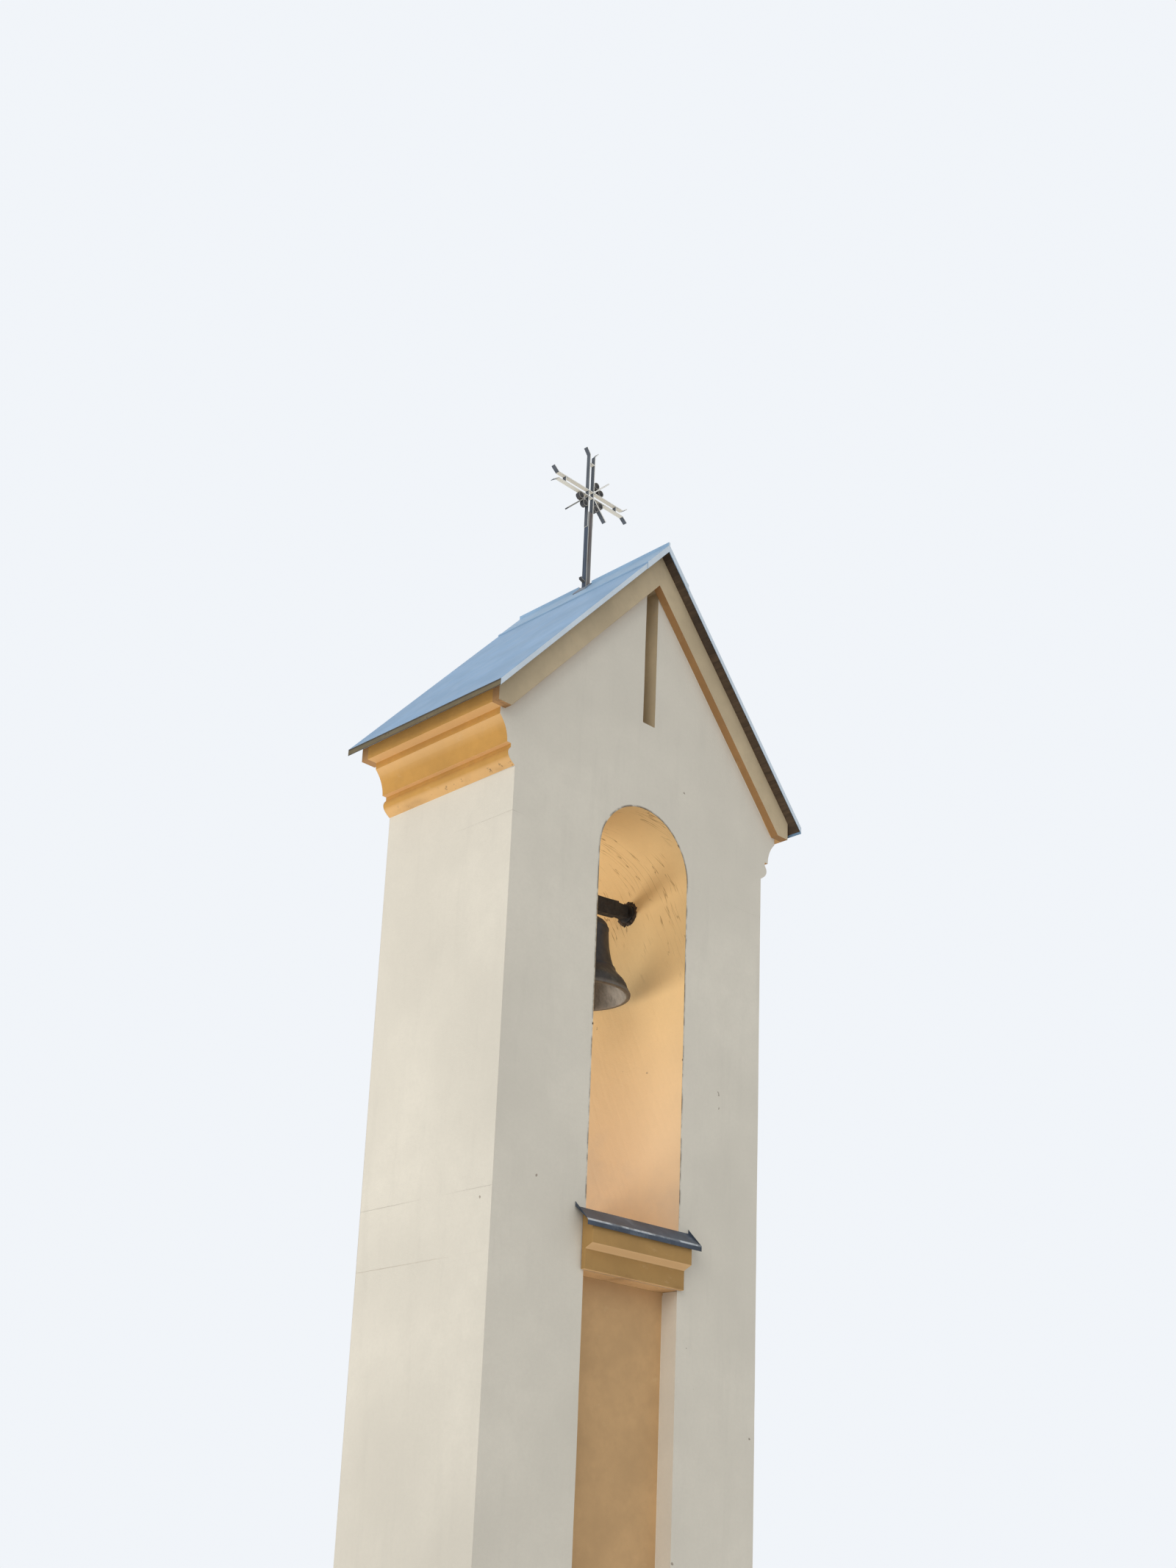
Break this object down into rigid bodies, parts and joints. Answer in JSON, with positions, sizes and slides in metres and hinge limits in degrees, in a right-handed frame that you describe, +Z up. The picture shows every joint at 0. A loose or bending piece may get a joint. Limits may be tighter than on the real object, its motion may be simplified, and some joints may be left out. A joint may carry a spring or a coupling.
{
  "type": "bell tower",
  "caption": "Small plastered masonry bell tower with an open arch, a bell on a cross axle, moulded eaves, a steep sheet-metal gable roof and a wrought cross on the ridge.",
  "frame": {"origin": "centre of the footprint at ground level", "axes": "+Z up, +X to the right along the arched front, so the front faces -Y"},
  "size_m": [2.464, 1.292, 8.7646],
  "materials": {
    "cream_plaster": "painted lime plaster, matt, lightly soiled",
    "ochre_plaster": "painted lime plaster, matt",
    "deck_board": "rough sawn boards, weathered",
    "roof_sheet": "smooth coated steel sheet, satin",
    "flashing_metal": "coated sheet with worn paint",
    "cross_steel": "flat bar, weathered grey",
    "bell_bronze": "dark casting, dull",
    "bell_iron": "dark rusted iron"
  },
  "bodies": {
    "tower": {"arch_wall": "cream_plaster", "back_left_rake_band": "ochre_plaster", "back_right_rake_band": "ochre_plaster", "back_sill_flashing": "flashing_metal", "back_sill_moulding": "ochre_plaster", "base_wall": "cream_plaster", "cross_left_upright": "cross_steel", "cross_lower_arm_bar": "cross_steel", "cross_lower_left_ray": "cross_steel", "cross_lower_right_ray": "cross_steel", "cross_post": "cross_steel", "cross_right_upright": "cross_steel", "cross_rungs": "cross_steel", "cross_saddle": "cross_steel", "cross_scrolls": "cross_steel", "cross_upper_arm_bar": "cross_steel", "cross_upper_right_ray": "cross_steel", "front_left_rake_band": "ochre_plaster", "front_right_rake_band": "ochre_plaster", "front_sill_flashing": "flashing_metal", "front_sill_moulding": "ochre_plaster", "gable_wall": "cream_plaster", "left_bearing": "bell_iron", "left_cornice": "ochre_plaster", "left_lower_pier": "cream_plaster", "left_pier": "cream_plaster", "left_roof_deck": "deck_board", "left_roof_sheet": "roof_sheet", "niche_back_wall": "ochre_plaster", "ridge_cap": "roof_sheet", "right_bearing": "bell_iron", "right_cornice": "ochre_plaster", "right_lower_pier": "cream_plaster", "right_pier": "cream_plaster", "right_roof_deck": "deck_board", "right_roof_sheet": "roof_sheet", "sill_wall": "cream_plaster"},
    "swinging_bell": {"bell": "bell_bronze", "bell_axle": "bell_iron", "clapper": "bell_iron", "clapper_staple": "bell_iron", "headstock": "bell_iron", "left_bell_strap": "bell_iron", "right_bell_strap": "bell_iron"}
  },
  "joints": [
    {"name": "bell_swing", "type": "hinge", "parent": "tower", "child": "swinging_bell", "pos_m": [0, -0.049, 5.733], "axis": [1, 0, 0], "range_deg": [-55, 55]}
  ]
}
